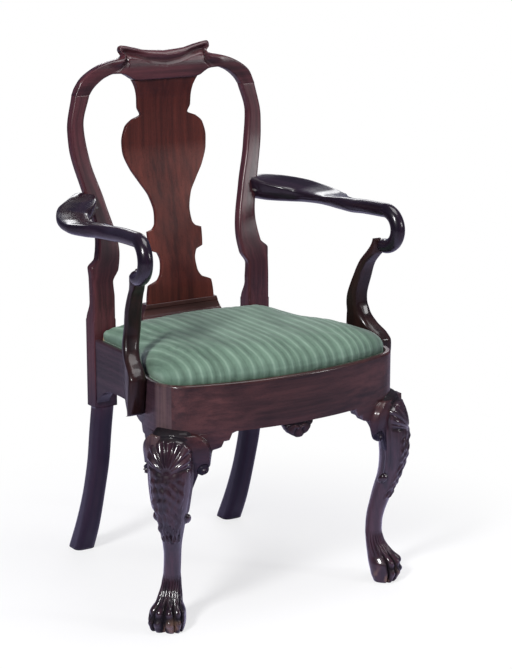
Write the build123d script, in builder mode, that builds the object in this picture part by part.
"""Open-arm chair with a vase splat, a drop-in seat, shepherd's-crook arms and cabriole front legs.

Millimetres. +Z is up, the front faces -Y and the chair is the same on both sides of the plane
x = 0. The origin is on the floor, under the middle of the chair's width and depth. Right-hand
pieces are those at +X, on the right of someone who looks at the chair's front.
"""

import os
from math import atan, atan2, cos, degrees, radians, sin, sqrt

from build123d import *

os.makedirs("parts", exist_ok=True)

# Seat frame
RAIL_TOP = 452.0  # top of the seat rails above the floor
RAIL_HEIGHT = 88.0
RAIL_THICK = 46.0
LIP_WIDTH = 12.0  # the lip that stands round the drop-in seat
LIP_ROUND = 4.0
REBATE_DEPTH = 18.0
DEPTH = 550.0  # front of the bowed rail to the heels of the rear legs
SEAT_DEPTH = 410.0  # front of the bowed rail to the fronts of the stiles
SEAT_HALF_FRONT = 247.0
SEAT_HALF_REAR = 193.0
CORNER_R = 60.0
CORNER_SET_BACK = 91.0  # front of the bowed rail to the centre of a front corner
SIDE_STRAIGHT = 92.0  # straight stretch of a side rail, in front of its stile
MITRE_ANGLE = 40.0  # turn of the corner joint from the side towards the front
REAR_RAIL_THICK = 30.0
REAR_LEDGE = 18.0
REAR_RAIL_INSET = 2.0

# Joints and fastenings
JOINT_CLEARANCE = 0.1
TENON_THICK = 12.0
TENON_HEIGHT = 50.0
SIDE_TENON_LENGTH = 22.0
SIDE_TENON_INSET = 19.0  # stile's outer face to the middle of the side rail's tenon
REAR_TENON_LENGTH = 16.0
LEG_TENON_R = 12.0
LEG_TENON_LENGTH = 58.0
LEG_TENON_REACH = 40.0
SCREW_R = 2.2
SCREW_HEAD_R = 4.5
SCREW_HEAD = 3.0

# Back
STILE_WIDTH = 47.0
STILE_PROUD = 2.0  # stile's outer face beyond the side rail's
STILE_BLOCK_DEPTH = 34.0
STILE_DEPTH = 20.0
BLOCK_DROP = 46.0  # square block of the stile below the rails
BLOCK_RISE = 34.0  # and above them
CREST_JOINT = 453.0  # joint of stile and crest, above the rails
CREST_TENON = (12.0, 8.0, 18.0)
SHOULDER_SET_BACK = 54.0  # lean of the stile at that joint
ARM_RISE = 248.0  # middle of the arm's rear end, above the rails
ARM_SET_BACK = 27.0  # lean of the stile there
BACK_CURVE = [  # lean, height above the rails
    (0, 70),
    (1.5, 110),
    (6, 150),
    (ARM_SET_BACK, ARM_RISE),
    (48, 360),
    (SHOULDER_SET_BACK, CREST_JOINT),
]
ARM_EDGE = 10.5  # stile's outer edge there, from its middle line
STILE_OUTER = [  # from the middle line, above the rails
    (24.5, 138),
    (9.5, 154),
    (2.5, 195),
    (ARM_EDGE, ARM_RISE),
    (18.5, 280),
    (33.5, 360),
    (34.5, 389),
]
STILE_INNER = [(-21.5, 106), (-34.5, 130), (-39.5, 165), (-20.5, 258), (0.5, 334), (8.5, 398)]
SHOULDER_OUTER = (21.5, CREST_JOINT)
SHOULDER_INNER = (-6.5, CREST_JOINT)
REAR_LEG_WIDTH = 40.0
REAR_LEG_DEPTH = 36.0
REAR_FOOT_WIDTH = 43.0
REAR_FOOT_DEPTH = 44.0

# Crest rail and splat, as half widths and heights above the rails
CREST_SHOULDER = [(180, 479), (160, 498), (137, 511), (115, 516.5), (98, 521)]
CREST_EAR = [(98, 521), (96, 527), (102, 533), (103, 537), (96, 540)]
CREST_DIP = [(96, 540), (71, 536), (40, 529), (0, 526)]
CREST_VOID = [(84, 486), (109, 489), (132, 483), (151, 470)]
# Side view of the crest: behind the joint's front, above the joint
CREST_FRONT = [(0, 0), (-1, 42), (1, 59), (8, 73), (10, 92)]
CREST_REAR = [(26, 92), (30, 77), (23, 52), (20, 0)]
SPLAT_TOP = (62.0, 473.0)
SPLAT_FOOT = 49.0  # foot of the splat, in the shoe
SPLAT_CURVE = [  # behind the fronts of the stiles, above the rails
    (8, 20),
    (9, 75),
    (12, 110),
    (24, 165),
    (40, 225),
    (56, 290),
    (66, 351),
    (67, 406),
    (62, 490),
]
SPLAT_THICK = 9.0
SPLAT_BASE = [(73, 49), (69, 84)]
SPLAT_COVE = [(69, 84), (48, 94), (37, 108), (34, 128), (40, 145), (57, 152)]
SPLAT_BARB = [(59, 186), (48, 189), (40, 200), (38, 220)]
SPLAT_VASE = [
    (38, 220),
    (45, 251),
    (61, 278),
    (79, 307),
    (90, 338),
    (91, 356),
    (84, 384),
    (69, 398),
    (51, 406),
]
SPLAT_NECK = [(51, 406), (57, 420), (58, 443), SPLAT_TOP]
SPLAT_TENON_HALF = 48.0
SPLAT_TENON_LENGTH = 12.0
SPLAT_SLOT_HALF = 76.0
SHOE_HEIGHT = 51.0
SHOE_END = [(78, 51), (82, 40), (88, 26), (104, 0)]
SHOE_DEPTH = 27.0

# Front legs
LEG_SHIFT = 12.0  # middle of the leg, sideways of the corner's diagonal
LEG_SECTIONS = [  # share of the height, reach along the diagonal, depth, width
    (0.000, 53, 38, 50),
    (0.022, 54.5, 48, 57),
    (0.060, 55.5, 60, 65),
    (0.099, 53, 60, 62),
    (0.143, 44.5, 50, 47),
    (0.198, 35, 36.5, 37),
    (0.275, 31, 31, 31),
    (0.371, 35, 33, 31),
    (0.453, 44, 37, 36),
    (0.536, 53.5, 41.5, 46),
    (0.618, 62.5, 45.5, 58),
    (0.700, 68, 53, 70),
    (0.797, 68.5, 57, 78),
    (0.893, 63.5, 55, 78),
    (0.962, 55, 50, 74),
    (1.000, 51, 46, 70),
]
BRACKET_THICK = 28.0
BRACKET_EDGE = [  # along the rail from the corner's centre, drop below the rail
    (64, 0),
    (55, 4),
    (49, 16),
    (40, 17),
    (35, 27),
    (21, 31),
    (17, 52),
    (12, 68),
    (2, 72),
    (-9, 57),
    (-60, 57),
    (-60, 0),
]
EAR_EDGE = [(19, 22), (19, 44), (12, 68), (2, 72), (-9, 57), (-60, 57), (-60, 8), (0, 8)]
EAR_PROUD = 9.0
PENDANT_EDGE = [(37, 0), (33, 12), (26, 15), (20, 23), (9, 26), (0, 29)]
PENDANT_THICK = 24.0
REAR_BRACKET = (62.0, 34.0, 24.0)  # length, drop and thickness

# Arms
ARM_SECTIONS = [  # share of the way forward, bow outwards, rise of the middle, width, height
    (0.000, -3, 249, 44, 48),
    (0.143, 24.9, 248, 44, 47),
    (0.218, 47.4, 245.5, 45, 42),
    (0.304, 62.7, 243, 49, 34),
    (0.382, 69.2, 241, 55, 27),
    (0.459, 62.6, 239.5, 49, 26),
    (0.544, 46, 239.5, 35, 26),
    (0.639, 28.3, 241, 29, 27),
    (0.782, 13.8, 245, 28, 27),
    (0.912, 5.6, 248, 27, 27),
]
ARM_START = 22.0  # rear end of the arm, behind the stile's front face
ARM_GAP = 0.8  # glue line in front of the stile
ARM_EDGE_GAP = 2.4  # and beside it, where the stile swells past the flat cut
ARM_SHY = 2.0  # arm's rear end, in front of the stile's back
CROOK_R = 33.5
CROOK_BAR = 27.0
CROOK_X = 261.0
CROOK_SET_BACK = 114.0  # front of the bowed rail to the middle of the crook
CROOK_RISE = 215.0
CROOK_TAIL = 15.0
SUPPORT_THICK = 22.0
SUPPORT_DROP = 60.0  # how far the arm support laps down the rail
SUPPORT_FRONT = [  # behind the crook's middle, above the rails
    (8, -56),
    (2, -38),
    (-3, 0),
    (6, 13),
    (28, 28),
    (43, 46),
    (50, 70),
    (51, 88),
    (49.5, 106),
    (44.5, 128),
    (36, 146),
    (24, 161),
    (15, 167),
]
SUPPORT_REAR = [
    (22, 195),
    (30, 183),
    (42, 165),
    (50, 151),
    (60, 130),
    (67.5, 108),
    (72, 85),
    (75, 59),
    (79, 29),
    (80, 3),
    (74, -25),
    (56, -48),
    (38, -56),
]
SUPPORT_SCREW_BACK = 38.0  # screws behind the crook's middle

# Drop-in seat
SEAT_GAP = 1.5  # cover to the lip
COVER_THICK = 1.5
SEAT_FRAME_THICK = 20.0
SEAT_FRAME_WIDTH = 58.0
SEAT_TENON_LENGTH = 20.0
COVER_EDGE = 2.0  # the turned-under cover stops short of the frame's inner edge
WEB_WIDTH = 50.0
WEB_THICK = 1.2
WEB_SPACING = 74.0
HESSIAN_THICK = 0.8
PAD_CROWN = [  # height, share of the plan
    (0, 1.0),
    (7, 1.006),
    (14, 0.99),
    (21, 0.955),
    (28, 0.89),
    (34, 0.78),
    (38, 0.62),
    (40.5, 0.42),
    (41.5, 0.20),
]
PAD_GAP = 0.4  # pad to cover
TACK_HEAD_R = 4.0
TACK_HEAD = 1.0
TACK_R = 0.9
TACK_LENGTH = 11.0
TACK_SPACING = 56.0
TACK_INSET = 8.0  # from the frame's inner edge
BLOCK_REACH = 28.0  # corner blocks' cut face, inside the corner's centre
BLOCK_HEIGHT = 48.0
BLOCK_LIFT = 8.0
REAR_BLOCK = 44.0
REACH = 1200.0  # longer than the chair is in any direction

# Worked out from the sizes above
RAIL_BOTTOM = RAIL_TOP - RAIL_HEIGHT
LEDGE = RAIL_TOP - REBATE_DEPTH
FRONT_Y = -DEPTH / 2
HEEL_Y = DEPTH / 2
STILE_FRONT = FRONT_Y + SEAT_DEPTH
CORNER_X = SEAT_HALF_FRONT - CORNER_R
CORNER_Y = FRONT_Y + CORNER_SET_BACK
BOW_R = (CORNER_X**2 + CORNER_SET_BACK**2 - CORNER_R**2) / (2 * (CORNER_SET_BACK - CORNER_R))
BOW_CENTRE = FRONT_Y + BOW_R
BOW_END = degrees(atan2(CORNER_Y - BOW_CENTRE, CORNER_X))
SIDE_END = STILE_FRONT - SIDE_STRAIGHT
SIDE_TURN = 2 * degrees(atan((SEAT_HALF_FRONT - SEAT_HALF_REAR) / (SIDE_END - CORNER_Y)))
SIDE_R = (SIDE_END - CORNER_Y) / (2 * sin(radians(SIDE_TURN)))
STILE_OUT = SEAT_HALF_REAR + STILE_PROUD
STILE_IN = STILE_OUT - STILE_WIDTH
STILE_MID = (STILE_OUT + STILE_IN) / 2
BLOCK_BOTTOM = RAIL_BOTTOM - BLOCK_DROP
RAIL_MIDDLE = RAIL_BOTTOM + RAIL_HEIGHT / 2 - REBATE_DEPTH / 2
SIDE_TENON_X = STILE_OUT - SIDE_TENON_INSET
REAR_RAIL_Y = STILE_FRONT + REAR_RAIL_INSET + REAR_RAIL_THICK / 2
DIAGONAL = (sin(radians(45)), -cos(radians(45)))
CROOK_Y = FRONT_Y + CROOK_SET_BACK
CROOK_Z = RAIL_TOP + CROOK_RISE
HEAD_RECESS_R = SCREW_HEAD_R + JOINT_CLEARANCE
SCREW_HOLE_R = SCREW_R + JOINT_CLEARANCE


def seat_plan(inset, rear):
    """Outline of the seat in plan, a set distance inside the rails' outer faces: a bowed front,
    round corners and ogee sides, closed by a straight line across the rear."""
    half_rear = SEAT_HALF_REAR - inset
    with BuildSketch() as plan:
        with BuildLine():
            CenterArc((0, BOW_CENTRE), BOW_R - inset, -90, 90 + BOW_END)
            CenterArc((CORNER_X, CORNER_Y), CORNER_R - inset, BOW_END, -BOW_END)
            CenterArc((SEAT_HALF_FRONT - SIDE_R, CORNER_Y), SIDE_R - inset, 0, SIDE_TURN)
            CenterArc((SEAT_HALF_REAR + SIDE_R, SIDE_END), SIDE_R + inset, 180 + SIDE_TURN, -SIDE_TURN)
            Line((half_rear, SIDE_END), (half_rear, rear))
            Line((half_rear, rear), (0, rear))
            mirror(about=Plane.YZ)
        make_face()
    return plan.sketch


def corner_wedge(front):
    """Plan region on one side of the corner joints: the front rail's, or the right side rail's."""
    slope = sin(radians(MITRE_ANGLE)) / cos(radians(MITRE_ANGLE))
    apex = (0, CORNER_Y + CORNER_X * slope)
    out = (REACH, CORNER_Y - (REACH - CORNER_X) * slope)
    with BuildSketch() as wedge:
        if front:
            Polygon(apex, (-out[0], out[1]), (-REACH, -2 * REACH), (REACH, -2 * REACH), out, align=None)
        else:
            Polygon(apex, out, (REACH, REACH), (0, REACH), align=None)
    return wedge.sketch


def side_x(y):
    """Half width of the seat, to the rails' outer faces, where the side bulges at a place y."""
    if y < CORNER_Y:
        return CORNER_X + sqrt(CORNER_R**2 - (y - CORNER_Y) ** 2)
    return SEAT_HALF_FRONT - SIDE_R + sqrt(SIDE_R**2 - (y - CORNER_Y) ** 2)


def back_line(offset):
    """The spooned curve of the back in side view, as points (y, z) moved back by an offset."""
    return [(STILE_FRONT + set_back + offset, RAIL_TOP + rise) for set_back, rise in BACK_CURVE]


def stile_points(points):
    """Outline points of the right stile's front view, from offsets about its middle line."""
    return [(STILE_MID + across, RAIL_TOP + rise) for across, rise in points]


def left_twin(right, label):
    """The left-hand piece is the right-hand one reflected in the chair's middle plane."""
    with BuildPart() as twin:
        mirror(right.part, about=Plane.YZ)
    twin.part.label = label
    export_step(twin.part, f"parts/{label}.step")


# Screws: a shank and a round head, along +X from the head, set where each one is driven
def screw_at(spot, direction, length):
    """A screw whose head starts at a spot and whose shank runs in a direction."""
    seat = Plane(origin=spot, z_dir=direction)
    with BuildPart() as screw:
        with BuildSketch(seat):
            Circle(SCREW_HEAD_R)
        extrude(amount=SCREW_HEAD)
        with BuildSketch(seat):
            Circle(SCREW_R)
        extrude(amount=length)
    return screw.part


def screw_hole_at(spot, direction, length):
    """The room that such a screw needs, with its head let in from the outside."""
    seat = Plane(origin=spot, z_dir=direction)
    with BuildPart() as hole:
        with BuildSketch(seat):
            Circle(HEAD_RECESS_R)
        extrude(amount=SCREW_HEAD)
        with BuildSketch(seat):
            Circle(HEAD_RECESS_R)
        extrude(amount=-RAIL_THICK)
        with BuildSketch(seat):
            Circle(SCREW_HOLE_R)
        extrude(amount=length + JOINT_CLEARANCE)
    return hole.part


SUPPORT_SCREW_Y = CROOK_Y + SUPPORT_SCREW_BACK
SUPPORT_SCREW_X = side_x(SUPPORT_SCREW_Y) - RAIL_THICK + SCREW_HEAD
SUPPORT_SCREW_LENGTH = RAIL_THICK + SUPPORT_THICK / 2
SUPPORT_SCREWS = [
    (SUPPORT_SCREW_X, SUPPORT_SCREW_Y, LEDGE - REBATE_DEPTH / 2 - drop)
    for drop in (0, SUPPORT_DROP / 3)
]
ARM_SCREW = (STILE_MID + 3, STILE_FRONT + ARM_SET_BACK + STILE_DEPTH - SCREW_HEAD, RAIL_TOP + ARM_RISE)
ARM_SCREW_LENGTH = STILE_DEPTH + 7

# Seat rails: one shaped ring, cut apart at the front corners
with BuildPart() as rail_ring:
    with BuildSketch(Plane.XY.offset(RAIL_BOTTOM)):
        add(seat_plan(0, STILE_FRONT))
        add(seat_plan(RAIL_THICK, STILE_FRONT), mode=Mode.SUBTRACT)
    extrude(amount=RAIL_HEIGHT)
    with BuildSketch(Plane.XY.offset(LEDGE)):
        add(seat_plan(LIP_WIDTH, STILE_FRONT))
    extrude(amount=REBATE_DEPTH, mode=Mode.SUBTRACT)
    lip = rail_ring.edges().group_by(Axis.Z)[-1].filter_by(lambda edge: edge.length > LIP_WIDTH * 2)
    fillet(lip, LIP_ROUND)
    leg_spot = (CORNER_X + LEG_TENON_REACH * DIAGONAL[0], CORNER_Y + LEG_TENON_REACH * DIAGONAL[1])
    with BuildSketch(Plane.XY.offset(RAIL_BOTTOM)):
        with Locations(leg_spot, (-leg_spot[0], leg_spot[1])):
            Circle(LEG_TENON_R + JOINT_CLEARANCE)
    extrude(amount=LEG_TENON_LENGTH + JOINT_CLEARANCE, mode=Mode.SUBTRACT)

with BuildPart() as front_seat_rail:
    add(rail_ring.part)
    with BuildSketch():
        add(corner_wedge(front=True))
    extrude(amount=REACH, mode=Mode.INTERSECT)
front_seat_rail.part.label = "front_seat_rail"
export_step(front_seat_rail.part, "parts/front_seat_rail.step")

with BuildPart() as side_seat_rail_right:
    add(rail_ring.part)
    with BuildSketch():
        add(corner_wedge(front=False))
    extrude(amount=REACH, mode=Mode.INTERSECT)
    with Locations((SIDE_TENON_X, STILE_FRONT + SIDE_TENON_LENGTH / 2, RAIL_MIDDLE)):
        Box(TENON_THICK, SIDE_TENON_LENGTH, TENON_HEIGHT)
    for spot in SUPPORT_SCREWS:
        add(screw_hole_at(spot, (1, 0, 0), SUPPORT_SCREW_LENGTH), mode=Mode.SUBTRACT)
side_seat_rail_right.part.label = "side_seat_rail_right"
export_step(side_seat_rail_right.part, "parts/side_seat_rail_right.step")
left_twin(side_seat_rail_right, "side_seat_rail_left")

with BuildPart() as rear_seat_rail:
    with Locations((0, REAR_RAIL_Y, RAIL_BOTTOM)):
        Box(2 * STILE_IN, REAR_RAIL_THICK, RAIL_HEIGHT, align=(Align.CENTER, Align.CENTER, Align.MIN))
    with Locations((0, STILE_FRONT - REAR_LEDGE, RAIL_BOTTOM)):
        Box(
            2 * (SEAT_HALF_REAR - RAIL_THICK),
            REAR_LEDGE + REAR_RAIL_INSET,
            RAIL_HEIGHT - REBATE_DEPTH,
            align=(Align.CENTER, Align.MIN, Align.MIN),
        )
    with Locations((0, REAR_RAIL_Y, RAIL_MIDDLE)):
        Box(2 * (STILE_IN + REAR_TENON_LENGTH), TENON_THICK, TENON_HEIGHT)
rear_seat_rail.part.label = "rear_seat_rail"
export_step(rear_seat_rail.part, "parts/rear_seat_rail.step")

# Back stiles, each in one piece with its raked rear leg
with BuildPart() as back_stile_right:
    block = (STILE_FRONT, STILE_FRONT + STILE_BLOCK_DEPTH)
    with BuildSketch(Plane.XZ):
        with BuildLine():
            outer = stile_points([*STILE_OUTER, SHOULDER_OUTER])
            inner = stile_points([*STILE_INNER, SHOULDER_INNER])
            Polyline(inner[0], (STILE_IN, BLOCK_BOTTOM), (STILE_OUT, BLOCK_BOTTOM), outer[0])
            Spline(*outer)
            Line(outer[-1], inner[-1])
            Spline(*inner)
        make_face()
    extrude(amount=REACH, both=True)
    with BuildSketch(Plane.YZ):
        with BuildLine():
            front = back_line(0)
            rear = back_line(STILE_DEPTH)
            step = RAIL_TOP + BLOCK_RISE
            Polyline(front[0], (block[0], BLOCK_BOTTOM), (block[1], BLOCK_BOTTOM), (block[1], step))
            Line((block[1], step), rear[0])
            Spline(*rear)
            Line(rear[-1], front[-1])
            Spline(*front)
        make_face()
    extrude(amount=REACH, both=True, mode=Mode.INTERSECT)
    heel = HEEL_Y - REAR_FOOT_DEPTH / 2
    rake = [(1, 0), (0.82, 0.11), (0.65, 0.20), (0.47, 0.36), (0.31, 0.54), (0.16, 0.74), (0, 1)]
    for share, back in rake:
        spread = max(0, 1 - share / rake[3][0])
        middle = block[0] + STILE_BLOCK_DEPTH / 2
        spot = (STILE_MID, middle + (heel - middle) * back, BLOCK_BOTTOM * share)
        with BuildSketch(Plane(origin=spot)):
            RectangleRounded(
                REAR_LEG_WIDTH + (REAR_FOOT_WIDTH - REAR_LEG_WIDTH) * spread,
                min(REAR_LEG_DEPTH + (REAR_FOOT_DEPTH - REAR_LEG_DEPTH) * spread, REAR_FOOT_DEPTH),
                REAR_LEG_DEPTH / 3,
            )
    loft()
    shoulder = stile_points([SHOULDER_OUTER, SHOULDER_INNER])
    tenon_spot = ((shoulder[0][0] + shoulder[1][0]) / 2, STILE_FRONT + SHOULDER_SET_BACK + STILE_DEPTH / 2)
    with Locations((*tenon_spot, RAIL_TOP + CREST_JOINT)):
        Box(*CREST_TENON, align=(Align.CENTER, Align.CENTER, Align.MIN))
    side_length = SIDE_TENON_LENGTH + JOINT_CLEARANCE
    with Locations((SIDE_TENON_X, STILE_FRONT, RAIL_MIDDLE)):
        Box(
            TENON_THICK + 2 * JOINT_CLEARANCE,
            side_length,
            TENON_HEIGHT + 2 * JOINT_CLEARANCE,
            align=(Align.CENTER, Align.MIN, Align.CENTER),
            mode=Mode.SUBTRACT,
        )
    with Locations((STILE_IN, REAR_RAIL_Y, RAIL_MIDDLE)):
        Box(
            REAR_TENON_LENGTH + JOINT_CLEARANCE,
            TENON_THICK + 2 * JOINT_CLEARANCE,
            TENON_HEIGHT + 2 * JOINT_CLEARANCE,
            align=(Align.MIN, Align.CENTER, Align.CENTER),
            mode=Mode.SUBTRACT,
        )
    add(screw_hole_at(ARM_SCREW, (0, -1, 0), ARM_SCREW_LENGTH), mode=Mode.SUBTRACT)
back_stile_right.part.label = "back_stile_right"
export_step(back_stile_right.part, "parts/back_stile_right.step")
left_twin(back_stile_right, "back_stile_left")


# Crest rail, sawn to its yoke in front view and rolled back along its top
def half_points(points):
    """Front-view outline points from half widths and heights above the rails."""
    return [(half, RAIL_TOP + rise) for half, rise in points]


CREST_Z = RAIL_TOP + CREST_JOINT
CREST_Y = STILE_FRONT + SHOULDER_SET_BACK
with BuildPart() as crest_rail:
    with BuildSketch(Plane.XZ):
        with BuildLine():
            outer, inner = stile_points([SHOULDER_OUTER, SHOULDER_INNER])
            Spline(outer, *half_points(CREST_SHOULDER))
            Spline(*half_points(CREST_EAR))
            Spline(*half_points(CREST_DIP))
            splat_top = half_points([(0, SPLAT_TOP[1]), SPLAT_TOP])
            Line(*splat_top)
            Spline(splat_top[1], *half_points(CREST_VOID), inner)
            Line(inner, outer)
            mirror(about=Plane.YZ)
        make_face()
    extrude(amount=REACH, both=True)
    with BuildSketch(Plane.YZ):
        with BuildLine():
            front = [(CREST_Y + back, CREST_Z + rise) for back, rise in CREST_FRONT]
            rear = [(CREST_Y + back, CREST_Z + rise) for back, rise in CREST_REAR]
            Spline(*front)
            Line(front[-1], rear[0])
            Spline(*rear)
            Line(rear[-1], front[0])
        make_face()
    extrude(amount=REACH, both=True, mode=Mode.INTERSECT)
    mortise = tuple(side + 2 * JOINT_CLEARANCE for side in CREST_TENON)
    with Locations((*tenon_spot, CREST_Z), (-tenon_spot[0], tenon_spot[1], CREST_Z)):
        Box(*mortise, align=(Align.CENTER, Align.CENTER, Align.MIN), mode=Mode.SUBTRACT)


def splat_slab(half, low, high, thick, side):
    """Part of the splat's spooned slab: a board that follows the back's curve between two heights."""
    with BuildPart() as slab:
        with BuildSketch(Plane.YZ):
            with BuildLine():
                face = [(STILE_FRONT + back - side, RAIL_TOP + rise) for back, rise in SPLAT_CURVE]
                back = [(y + thick, z) for y, z in face]
                Spline(*face)
                Line(face[-1], back[-1])
                Spline(*back)
                Line(back[0], face[0])
            make_face()
        extrude(amount=half, both=True)
        with Locations((0, 0, RAIL_TOP + low)):
            Box(REACH, REACH, high - low, align=(Align.CENTER, Align.CENTER, Align.MIN), mode=Mode.INTERSECT)
    return slab.part


SPLAT_FULL = splat_slab(REACH / 4, SPLAT_FOOT, SPLAT_TOP[1], SPLAT_THICK, 0)
SPLAT_TENONS = [
    (SPLAT_FOOT - SPLAT_TENON_LENGTH, SPLAT_FOOT),
    (SPLAT_TOP[1], SPLAT_TOP[1] + SPLAT_TENON_LENGTH),
]


def splat_mortise(ends):
    """Room for one of the splat's tenons, a little larger all round."""
    gap = JOINT_CLEARANCE
    return splat_slab(SPLAT_TENON_HALF + gap, ends[0] - gap, ends[1] + gap, SPLAT_THICK + 2 * gap, gap)


with BuildPart() as splat:
    add(SPLAT_FULL)
    with BuildSketch(Plane.XZ):
        with BuildLine():
            base = half_points([(0, SPLAT_FOOT), *SPLAT_BASE])
            Polyline(*base)
            Spline(*half_points(SPLAT_COVE))
            Line(half_points(SPLAT_COVE)[-1], half_points(SPLAT_BARB)[0])
            Spline(*half_points(SPLAT_BARB))
            Spline(*half_points(SPLAT_VASE))
            Spline(*half_points(SPLAT_NECK))
            Line(*reversed(half_points([(0, SPLAT_TOP[1]), SPLAT_TOP])))
            mirror(about=Plane.YZ)
        make_face()
    extrude(amount=REACH, both=True, mode=Mode.INTERSECT)
    for low, high in SPLAT_TENONS:
        add(splat_slab(SPLAT_TENON_HALF, low, high, SPLAT_THICK, 0))
splat.part.label = "splat"
export_step(splat.part, "parts/splat.step")

with BuildPart() as crest_rail_mortised:
    add(crest_rail.part)
    add(splat_mortise(SPLAT_TENONS[1]), mode=Mode.SUBTRACT)
crest_rail_mortised.part.label = "crest_rail"
export_step(crest_rail_mortised.part, "parts/crest_rail.step")

splat_slot = splat_slab(SPLAT_SLOT_HALF, SPLAT_TENONS[0][0] - 1, REACH / 4, SPLAT_THICK + 0.2, 0.1)
with BuildPart() as splat_shoe:
    with BuildSketch(Plane.XZ.offset(-STILE_FRONT - REAR_RAIL_INSET)):
        with BuildLine():
            end = half_points(SHOE_END)
            Line(half_points([(0, SHOE_HEIGHT)])[0], end[0])
            Spline(*end)
            Line(end[-1], (0, RAIL_TOP))
            mirror(about=Plane.YZ)
        make_face()
    extrude(amount=-SHOE_DEPTH)
    add(splat_slot, mode=Mode.SUBTRACT)
splat_shoe.part.label = "splat_shoe"
export_step(splat_shoe.part, "parts/splat_shoe.step")

# Front legs: cabriole, set on the diagonal, with a round tenon up through the corner joint
with BuildPart() as front_leg_right:
    leg_x = CORNER_X - LEG_SHIFT * DIAGONAL[1]
    leg_y = CORNER_Y + LEG_SHIFT * DIAGONAL[0]
    for share, reach, depth, width in LEG_SECTIONS:
        spot = (leg_x + reach * DIAGONAL[0], leg_y + reach * DIAGONAL[1], RAIL_BOTTOM * share)
        with BuildSketch(Plane(origin=spot, x_dir=(*DIAGONAL, 0), z_dir=(0, 0, 1))):
            Ellipse(depth / 2, width / 2)
    loft()
    with BuildSketch(Plane.XY.offset(RAIL_BOTTOM)):
        with Locations(leg_spot):
            Circle(LEG_TENON_R)
    extrude(amount=LEG_TENON_LENGTH)
front_leg_right.part.label = "front_leg_right"
export_step(front_leg_right.part, "parts/front_leg_right.step")
left_twin(front_leg_right, "front_leg_left")


# Knee brackets: stepped boards under the rails, each with a swelling ear beside the knee
def bracket_board(outside, edge, plane, centre, way):
    """A board that follows the rail in plan, sawn to an edge measured from the corner's centre."""
    with BuildPart() as board:
        with BuildSketch(Plane.XY.offset(RAIL_BOTTOM - RAIL_HEIGHT)):
            add(seat_plan(-outside, STILE_FRONT))
            add(seat_plan(BRACKET_THICK, STILE_FRONT), mode=Mode.SUBTRACT)
        extrude(amount=RAIL_HEIGHT)
        with BuildSketch(plane):
            Polygon(*[(centre + way * along, RAIL_BOTTOM - drop) for along, drop in edge], align=None)
        extrude(amount=REACH, both=True, mode=Mode.INTERSECT)
        with BuildSketch():
            add(corner_wedge(front=way < 0))
        extrude(amount=REACH, mode=Mode.INTERSECT)
    return board.part


FRONT_BRACKET = (Plane.XZ, CORNER_X, -1)
SIDE_BRACKET = (Plane.YZ, CORNER_Y, 1)

with BuildPart() as knee_bracket_front_right:
    add(bracket_board(0, BRACKET_EDGE, *FRONT_BRACKET))
    add(bracket_board(EAR_PROUD, EAR_EDGE, *FRONT_BRACKET))
    add(front_leg_right.part, mode=Mode.SUBTRACT)
knee_bracket_front_right.part.label = "knee_bracket_front_right"
export_step(knee_bracket_front_right.part, "parts/knee_bracket_front_right.step")
left_twin(knee_bracket_front_right, "knee_bracket_front_left")

with BuildPart() as knee_bracket_side_right:
    add(bracket_board(0, BRACKET_EDGE, *SIDE_BRACKET))
    add(bracket_board(EAR_PROUD, EAR_EDGE, *SIDE_BRACKET))
    add(front_leg_right.part, mode=Mode.SUBTRACT)
knee_bracket_side_right.part.label = "knee_bracket_side_right"
export_step(knee_bracket_side_right.part, "parts/knee_bracket_side_right.step")
left_twin(knee_bracket_side_right, "knee_bracket_side_left")

# Small hollow brackets where the side rails meet the rear legs
with BuildPart() as rear_bracket_right:
    length, drop, thick = REAR_BRACKET
    with BuildSketch(Plane.YZ.offset(SEAT_HALF_REAR - thick)):
        with BuildLine():
            low = (STILE_FRONT, RAIL_BOTTOM - drop)
            far = (STILE_FRONT - length, RAIL_BOTTOM)
            tip = (STILE_FRONT - length / 12, RAIL_BOTTOM - drop)
            Polyline(far, (STILE_FRONT, RAIL_BOTTOM), low, tip)
            ThreePointArc(tip, (STILE_FRONT - length * 0.42, RAIL_BOTTOM - drop * 0.36), far)
        make_face()
    extrude(amount=thick)
rear_bracket_right.part.label = "rear_bracket_right"
export_step(rear_bracket_right.part, "parts/rear_bracket_right.step")
left_twin(rear_bracket_right, "rear_bracket_left")

# Shell-shaped drop under the middle of the front rail
with BuildPart() as apron_shell:
    with BuildSketch(Plane.XZ.offset(-FRONT_Y)):
        with BuildLine():
            lobes = [(half, RAIL_BOTTOM - drop) for half, drop in PENDANT_EDGE]
            Line((0, RAIL_BOTTOM), lobes[0])
            Polyline(*lobes)
            mirror(about=Plane.YZ)
        make_face()
    extrude(amount=-PENDANT_THICK)
    with BuildSketch():
        add(seat_plan(0, STILE_FRONT))
    extrude(amount=REACH, mode=Mode.INTERSECT)
apron_shell.part.label = "apron_shell"
export_step(apron_shell.part, "parts/apron_shell.step")

# Arms: each swells and bows outwards, then turns down and back in a crook
CROOK_START = (CROOK_X, CROOK_Y, CROOK_Z + CROOK_R)


def arm_stations():
    """Middles of the arm's sections with their widths and heights, from the stile to the crook."""
    start = STILE_FRONT + ARM_SET_BACK + ARM_START
    stations = []
    for share, bow, rise, width, height in ARM_SECTIONS:
        across = STILE_MID + (CROOK_X - STILE_MID) * share + bow
        stations.append(((across, start + (CROOK_Y - start) * share, RAIL_TOP + rise), width, height))
    stations.append((CROOK_START, CROOK_BAR, CROOK_BAR))
    return stations


# The arm laps the stile's front outer corner: the notch leans with the stile's two faces
def slope_at(points, spot):
    """Slope of a curve at one of its listed points, from the points on either side."""
    place = points.index(spot)
    before = points[place - 1]
    after = points[place + 1]
    return (after[0] - before[0]) / (after[1] - before[1])


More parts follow.
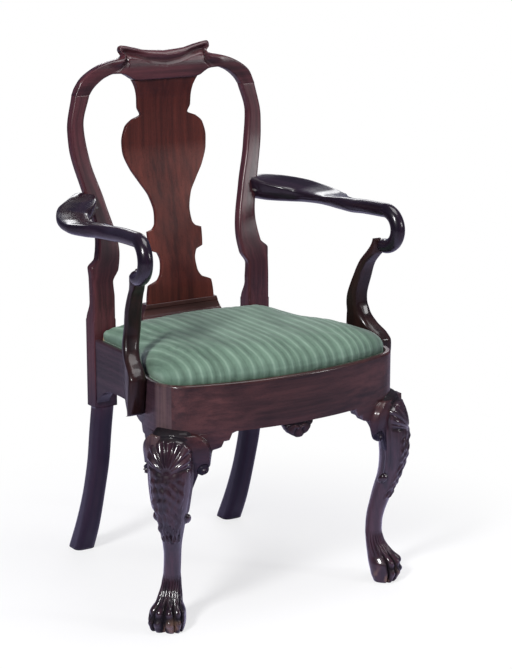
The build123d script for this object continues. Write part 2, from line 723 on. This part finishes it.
BACK_SLOPE = slope_at(BACK_CURVE, (ARM_SET_BACK, ARM_RISE))
EDGE_SLOPE = slope_at(STILE_OUTER, (ARM_EDGE, ARM_RISE))
with BuildPart() as arm_notch:
    for climb in (-2 * STILE_WIDTH, 2 * STILE_WIDTH):
        corner = (
            STILE_MID + ARM_EDGE + EDGE_SLOPE * climb + ARM_EDGE_GAP,
            STILE_FRONT + ARM_SET_BACK + BACK_SLOPE * climb - ARM_GAP,
        )
        with BuildSketch(Plane.XY.offset(RAIL_TOP + ARM_RISE + climb)):
            with Locations(corner):
                Rectangle(REACH / 4, REACH / 4, align=(Align.MAX, Align.MIN))
    loft(ruled=True)

with BuildPart() as arm_right:
    stations = arm_stations()
    last = len(stations) - 1
    for index, (spot, width, height) in enumerate(stations):
        along = Vector(stations[min(index + 1, last)][0]) - Vector(stations[max(index - 1, 0)][0])
        if index == last:
            along = Vector(0, -1, 0)
        with BuildSketch(Plane(origin=spot, x_dir=(-along.Y, along.X, 0), z_dir=along)):
            Ellipse(width / 2, height / 2)
    loft()
    with BuildLine(Plane.YZ.offset(CROOK_X)):
        CenterArc((CROOK_Y, CROOK_Z), CROOK_R, 90, 180)
        Line((CROOK_Y, CROOK_Z - CROOK_R), (CROOK_Y + CROOK_TAIL, CROOK_Z - CROOK_R))
    with BuildSketch(Plane(origin=CROOK_START, x_dir=(1, 0, 0), z_dir=(0, -1, 0))):
        Ellipse(CROOK_BAR / 2, CROOK_BAR / 2)
    sweep()
    add(arm_notch.part, mode=Mode.SUBTRACT)
    with Locations((0, STILE_FRONT + ARM_SET_BACK + STILE_DEPTH - ARM_SHY, RAIL_TOP)):
        Box(REACH, REACH, REACH, align=Align.MIN, mode=Mode.SUBTRACT)
    add(screw_hole_at(ARM_SCREW, (0, -1, 0), ARM_SCREW_LENGTH), mode=Mode.SUBTRACT)
arm_right.part.label = "arm_right"
export_step(arm_right.part, "parts/arm_right.step")
left_twin(arm_right, "arm_left")

# Arm supports: flat ogee posts that lap the outside of the side rails
with BuildPart() as arm_support_right:
    with BuildSketch(Plane.XY.offset(RAIL_TOP - SUPPORT_DROP)):
        add(seat_plan(-SUPPORT_THICK, STILE_FRONT))
        add(seat_plan(0, STILE_FRONT), mode=Mode.SUBTRACT)
    extrude(amount=REACH / 4)
    with BuildSketch(Plane.YZ):
        with BuildLine():
            front = [(CROOK_Y + back, RAIL_TOP + rise) for back, rise in SUPPORT_FRONT]
            rear = [(CROOK_Y + back, RAIL_TOP + rise) for back, rise in SUPPORT_REAR]
            Spline(*front)
            Polyline(front[-1], (front[-1][0], rear[0][1]), rear[0])
            Spline(*rear)
            low = ((front[0][0] + rear[-1][0]) / 2, RAIL_TOP - SUPPORT_DROP + 1)
            ThreePointArc(rear[-1], low, front[0])
        make_face()
    extrude(amount=REACH, mode=Mode.INTERSECT)
    for spot in SUPPORT_SCREWS:
        add(screw_hole_at(spot, (1, 0, 0), SUPPORT_SCREW_LENGTH), mode=Mode.SUBTRACT)
arm_support_right.part.label = "arm_support_right"
export_step(arm_support_right.part, "parts/arm_support_right.step")
left_twin(arm_support_right, "arm_support_left")

with BuildPart() as arm_support_screws:
    for spot in SUPPORT_SCREWS:
        add(screw_at(spot, (1, 0, 0), SUPPORT_SCREW_LENGTH))
        add(screw_at((-spot[0], spot[1], spot[2]), (-1, 0, 0), SUPPORT_SCREW_LENGTH))
arm_support_screws.part.label = "arm_support_screws"
export_step(arm_support_screws.part, "parts/arm_support_screws.step")

with BuildPart() as arm_screws:
    for side in (1, -1):
        add(screw_at((side * ARM_SCREW[0], ARM_SCREW[1], ARM_SCREW[2]), (0, -1, 0), ARM_SCREW_LENGTH))
arm_screws.part.label = "arm_screws"
export_step(arm_screws.part, "parts/arm_screws.step")

# Glue blocks inside the corners of the seat frame
with BuildPart() as corner_block_front_right:
    with BuildSketch(Plane.XY.offset(RAIL_BOTTOM + BLOCK_LIFT)):
        add(seat_plan(RAIL_THICK, STILE_FRONT))
        cut = Location((CORNER_X - BLOCK_REACH * DIAGONAL[0], CORNER_Y - BLOCK_REACH * DIAGONAL[1]), -45)
        with Locations(cut):
            Rectangle(REACH, REACH, align=(Align.MIN, Align.CENTER), mode=Mode.INTERSECT)
    extrude(amount=BLOCK_HEIGHT)
corner_block_front_right.part.label = "corner_block_front_right"
export_step(corner_block_front_right.part, "parts/corner_block_front_right.step")
left_twin(corner_block_front_right, "corner_block_front_left")

with BuildPart() as corner_block_rear_right:
    with BuildSketch(Plane.XY.offset(RAIL_BOTTOM + BLOCK_LIFT)):
        corner = (SEAT_HALF_REAR - RAIL_THICK, STILE_FRONT - REAR_LEDGE)
        Polygon(corner, (corner[0] - REAR_BLOCK, corner[1]), (corner[0], corner[1] - REAR_BLOCK), align=None)
    extrude(amount=BLOCK_HEIGHT)
corner_block_rear_right.part.label = "corner_block_rear_right"
export_step(corner_block_rear_right.part, "parts/corner_block_rear_right.step")
left_twin(corner_block_rear_right, "corner_block_rear_left")

# Drop-in seat: a softwood frame with webbing, hessian, a stuffed pad and a velvet cover
SEAT_INSET = LIP_WIDTH + SEAT_GAP + COVER_THICK
SEAT_REAR = STILE_FRONT - SEAT_GAP - COVER_THICK
FRAME_Z = LEDGE + COVER_THICK
FRAME_TOP = FRAME_Z + SEAT_FRAME_THICK
PAD_Z = FRAME_TOP + 2 * WEB_THICK + HESSIAN_THICK
OPEN_FRONT = FRONT_Y + SEAT_INSET + SEAT_FRAME_WIDTH
OPEN_REAR = SEAT_REAR - SEAT_FRAME_WIDTH
OPEN_HALF_FRONT = SEAT_HALF_FRONT - SEAT_INSET - SEAT_FRAME_WIDTH
OPEN_HALF_REAR = SEAT_HALF_REAR - SEAT_INSET - SEAT_FRAME_WIDTH


def seat_opening(grow):
    """Opening of the seat frame in plan: a trapezium, grown on every side by a distance."""
    front = (OPEN_HALF_FRONT + grow, OPEN_FRONT - grow)
    rear = (OPEN_HALF_REAR + grow, OPEN_REAR + grow)
    with BuildSketch() as opening:
        Polygon((-front[0], front[1]), front, rear, (-rear[0], rear[1]), align=None)
    return opening.sketch


def open_half(y):
    """Half width of that opening at a place y."""
    share = (y - OPEN_FRONT) / (OPEN_REAR - OPEN_FRONT)
    return OPEN_HALF_FRONT + (OPEN_HALF_REAR - OPEN_HALF_FRONT) * share


def tack_spots():
    """Places of the tacks, in rows a little outside the opening."""
    spots = []
    front = int(OPEN_HALF_FRONT / TACK_SPACING) - 1
    for step in range(-front, front + 1):
        spots.append((step * TACK_SPACING, OPEN_FRONT - TACK_INSET))
    rear = int(OPEN_HALF_REAR / TACK_SPACING)
    for step in range(-rear, rear + 1):
        spots.append((step * TACK_SPACING, OPEN_REAR + TACK_INSET))
    middle = (OPEN_FRONT + OPEN_REAR) / 2
    rows = int((OPEN_REAR - OPEN_FRONT) / 2 / TACK_SPACING)
    for step in range(-rows, rows + 1):
        y = middle + step * TACK_SPACING
        for side in (1, -1):
            spots.append((side * (open_half(y) + TACK_INSET), y))
    return spots


TACKS = tack_spots()

with BuildPart() as seat_ring:
    with BuildSketch(Plane.XY.offset(FRAME_Z)):
        add(seat_plan(SEAT_INSET, SEAT_REAR))
        add(seat_opening(0), mode=Mode.SUBTRACT)
    extrude(amount=SEAT_FRAME_THICK)
    with BuildSketch(Plane.XY.offset(FRAME_Z)):
        with Locations(*TACKS):
            Circle(TACK_R + JOINT_CLEARANCE)
    extrude(amount=TACK_LENGTH, mode=Mode.SUBTRACT)


def seat_tenons(clearance):
    """The tenons on both ends of the right-hand seat side, in the middle third of its thickness."""
    with BuildPart() as tenons:
        for y in (OPEN_FRONT, OPEN_REAR):
            middle = open_half(y) + SEAT_FRAME_WIDTH / 4
            with Locations((middle, y, FRAME_Z + SEAT_FRAME_THICK / 2)):
                Box(
                    SEAT_FRAME_WIDTH / 3 + 2 * clearance,
                    2 * (SEAT_TENON_LENGTH + clearance),
                    SEAT_FRAME_THICK / 3 + 2 * clearance,
                )
    return tenons.part


with BuildPart() as seat_frame_side_right:
    add(seat_ring.part)
    with Locations((0, OPEN_FRONT, 0)):
        Box(REACH, OPEN_REAR - OPEN_FRONT, REACH, align=Align.MIN, mode=Mode.INTERSECT)
    add(seat_tenons(0))
    with BuildSketch(Plane.XY.offset(FRAME_Z)):
        with Locations(*TACKS):
            Circle(TACK_R + JOINT_CLEARANCE)
    extrude(amount=TACK_LENGTH, mode=Mode.SUBTRACT)
seat_frame_side_right.part.label = "seat_frame_side_right"
export_step(seat_frame_side_right.part, "parts/seat_frame_side_right.step")
left_twin(seat_frame_side_right, "seat_frame_side_left")

with BuildPart() as seat_mortises:
    add(seat_tenons(JOINT_CLEARANCE))
    mirror(about=Plane.YZ)

with BuildPart() as seat_frame_front:
    add(seat_ring.part)
    with Locations((0, OPEN_FRONT, 0)):
        Box(REACH, REACH, REACH, align=(Align.CENTER, Align.MAX, Align.MIN), mode=Mode.INTERSECT)
    add(seat_mortises.part, mode=Mode.SUBTRACT)
seat_frame_front.part.label = "seat_frame_front"
export_step(seat_frame_front.part, "parts/seat_frame_front.step")

with BuildPart() as seat_frame_rear:
    add(seat_ring.part)
    with Locations((0, OPEN_REAR, 0)):
        Box(REACH, REACH, REACH, align=(Align.CENTER, Align.MIN, Align.MIN), mode=Mode.INTERSECT)
    add(seat_mortises.part, mode=Mode.SUBTRACT)
seat_frame_rear.part.label = "seat_frame_rear"
export_step(seat_frame_rear.part, "parts/seat_frame_rear.step")

WEB_END = SEAT_FRAME_WIDTH / 3  # webbing stops short of the frame's outer edge
with BuildPart() as webbing_lengths:
    length = OPEN_REAR - OPEN_FRONT + 2 * (SEAT_FRAME_WIDTH - WEB_END)
    for step in (-1, 0, 1):
        with Locations((step * WEB_SPACING, (OPEN_FRONT + OPEN_REAR) / 2, FRAME_TOP)):
            Box(WEB_WIDTH, length, WEB_THICK, align=(Align.CENTER, Align.CENTER, Align.MIN))
webbing_lengths.part.label = "webbing_lengths"
export_step(webbing_lengths.part, "parts/webbing_lengths.step")

with BuildPart() as webbing_crosses:
    for step in (-1, 0, 1):
        y = (OPEN_FRONT + OPEN_REAR) / 2 + step * WEB_SPACING
        width = 2 * (open_half(y) + SEAT_FRAME_WIDTH - WEB_END)
        with Locations((0, y, FRAME_TOP + WEB_THICK)):
            Box(width, WEB_WIDTH, WEB_THICK, align=(Align.CENTER, Align.CENTER, Align.MIN))
webbing_crosses.part.label = "webbing_crosses"
export_step(webbing_crosses.part, "parts/webbing_crosses.step")

with BuildPart() as seat_hessian:
    with BuildSketch(Plane.XY.offset(FRAME_TOP + 2 * WEB_THICK)):
        add(seat_plan(SEAT_INSET + WEB_END / 2, SEAT_REAR - WEB_END / 2))
    extrude(amount=HESSIAN_THICK)
seat_hessian.part.label = "seat_hessian"
export_step(seat_hessian.part, "parts/seat_hessian.step")


def crown(grow):
    """The crowned cushion, lofted through scaled copies of its plan and grown by a distance."""
    middle = (FRONT_Y + STILE_FRONT) / 2
    plan = seat_plan(SEAT_INSET - grow, SEAT_REAR + grow)
    with BuildPart() as cushion:
        for height, share in PAD_CROWN:
            lift = grow if height > 0 else 0
            with BuildSketch(Plane((0, middle * (1 - share), PAD_Z + height + lift))):
                add(scale(plan, by=share, mode=Mode.PRIVATE))
        loft(ruled=True)
    return cushion.part


with BuildPart() as seat_pad:
    add(crown(-PAD_GAP))
seat_pad.part.label = "seat_pad"
export_step(seat_pad.part, "parts/seat_pad.step")

with BuildPart() as seat_cover:
    outside = seat_plan(SEAT_INSET - COVER_THICK, SEAT_REAR + COVER_THICK)
    with BuildSketch(Plane.XY.offset(LEDGE)):
        add(outside)
    extrude(amount=PAD_Z - LEDGE)
    add(crown(COVER_THICK))
    with BuildSketch(Plane.XY.offset(FRAME_Z)):
        add(seat_plan(SEAT_INSET, SEAT_REAR))
    extrude(amount=PAD_Z - FRAME_Z, mode=Mode.SUBTRACT)
    add(crown(0), mode=Mode.SUBTRACT)
    with BuildSketch(Plane.XY.offset(LEDGE)):
        add(seat_opening(COVER_EDGE))
    extrude(amount=COVER_THICK, mode=Mode.SUBTRACT)
    with BuildSketch(Plane.XY.offset(LEDGE)):
        with Locations(*TACKS):
            Circle(TACK_R + JOINT_CLEARANCE)
    extrude(amount=COVER_THICK, mode=Mode.SUBTRACT)
seat_cover.part.label = "seat_cover"
export_step(seat_cover.part, "parts/seat_cover.step")

# Tacks that hold the turned-under cover to the seat frame
with BuildPart() as cover_tacks:
    with BuildSketch(Plane.XY.offset(LEDGE - TACK_HEAD)):
        with Locations(*TACKS):
            Circle(TACK_HEAD_R)
    extrude(amount=TACK_HEAD)
    with BuildSketch(Plane.XY.offset(LEDGE)):
        with Locations(*TACKS):
            Circle(TACK_R)
    extrude(amount=TACK_LENGTH)
cover_tacks.part.label = "cover_tacks"
export_step(cover_tacks.part, "parts/cover_tacks.step")
